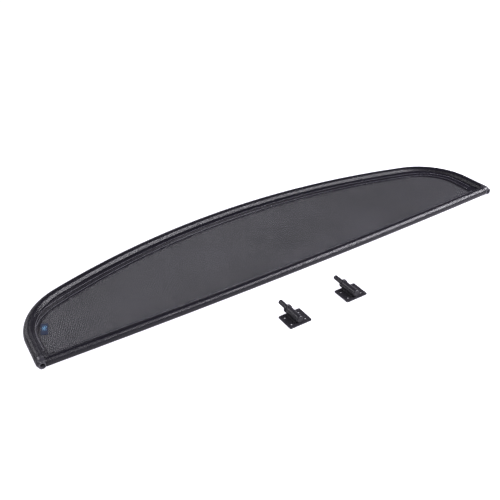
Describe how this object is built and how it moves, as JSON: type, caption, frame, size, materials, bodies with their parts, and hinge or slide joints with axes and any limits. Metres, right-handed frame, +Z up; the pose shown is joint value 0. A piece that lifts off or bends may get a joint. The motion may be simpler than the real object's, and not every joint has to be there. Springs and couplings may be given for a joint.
{
  "type": "wind deflector",
  "caption": "Wind deflector for an open car: D-shaped tube frame in a fabric sleeve with a stretched net, and the loose screw-on pin brackets that it plugs onto.",
  "frame": {"origin": "on the ground below the middle of the whole layout, screen and loose brackets together", "axes": "+X along the sill tube, +Y from the sill towards the crown of the arch, +Z up out of the net"},
  "size_m": [1.14, 0.4633, 0.02],
  "materials": {
    "core_steel": "plain drawn tube",
    "elbow_plastic": "moulded nylon",
    "spring_steel": "hardened pin",
    "sleeve_fabric": "black coated fabric with a soft sheen",
    "net": "black knitted net",
    "label_cloth": "woven navy patch",
    "socket_plastic": "moulded nylon",
    "bracket_coat": "satin black powder coat"
  },
  "bodies": {
    "screen": {"arch_tube": "core_steel", "sill_tube": "core_steel", "left_elbow": "elbow_plastic", "right_elbow": "elbow_plastic", "corner_pins": "spring_steel", "arch_sleeve": "sleeve_fabric", "sill_sleeve": "sleeve_fabric", "upper_mesh": "net", "lower_mesh": "net", "label": "label_cloth", "left_socket": "socket_plastic", "right_socket": "socket_plastic"},
    "left_bracket": {"left_plate": "bracket_coat", "left_barrel": "bracket_coat", "left_collar": "bracket_coat", "left_pin": "bracket_coat", "left_welds": "bracket_coat"},
    "right_bracket": {"right_plate": "bracket_coat", "right_barrel": "bracket_coat", "right_collar": "bracket_coat", "right_pin": "bracket_coat", "right_welds": "bracket_coat"}
  },
  "joints": [
    {"name": "left_to_socket", "type": "slide", "parent": "screen", "child": "left_bracket", "axis": [-0.9843, 0.1766, 0], "range_m": [0, 0.46989]},
    {"name": "right_to_socket", "type": "slide", "parent": "screen", "child": "right_bracket", "axis": [0.9891, 0.147, 0], "range_m": [0, 0.52369]}
  ]
}
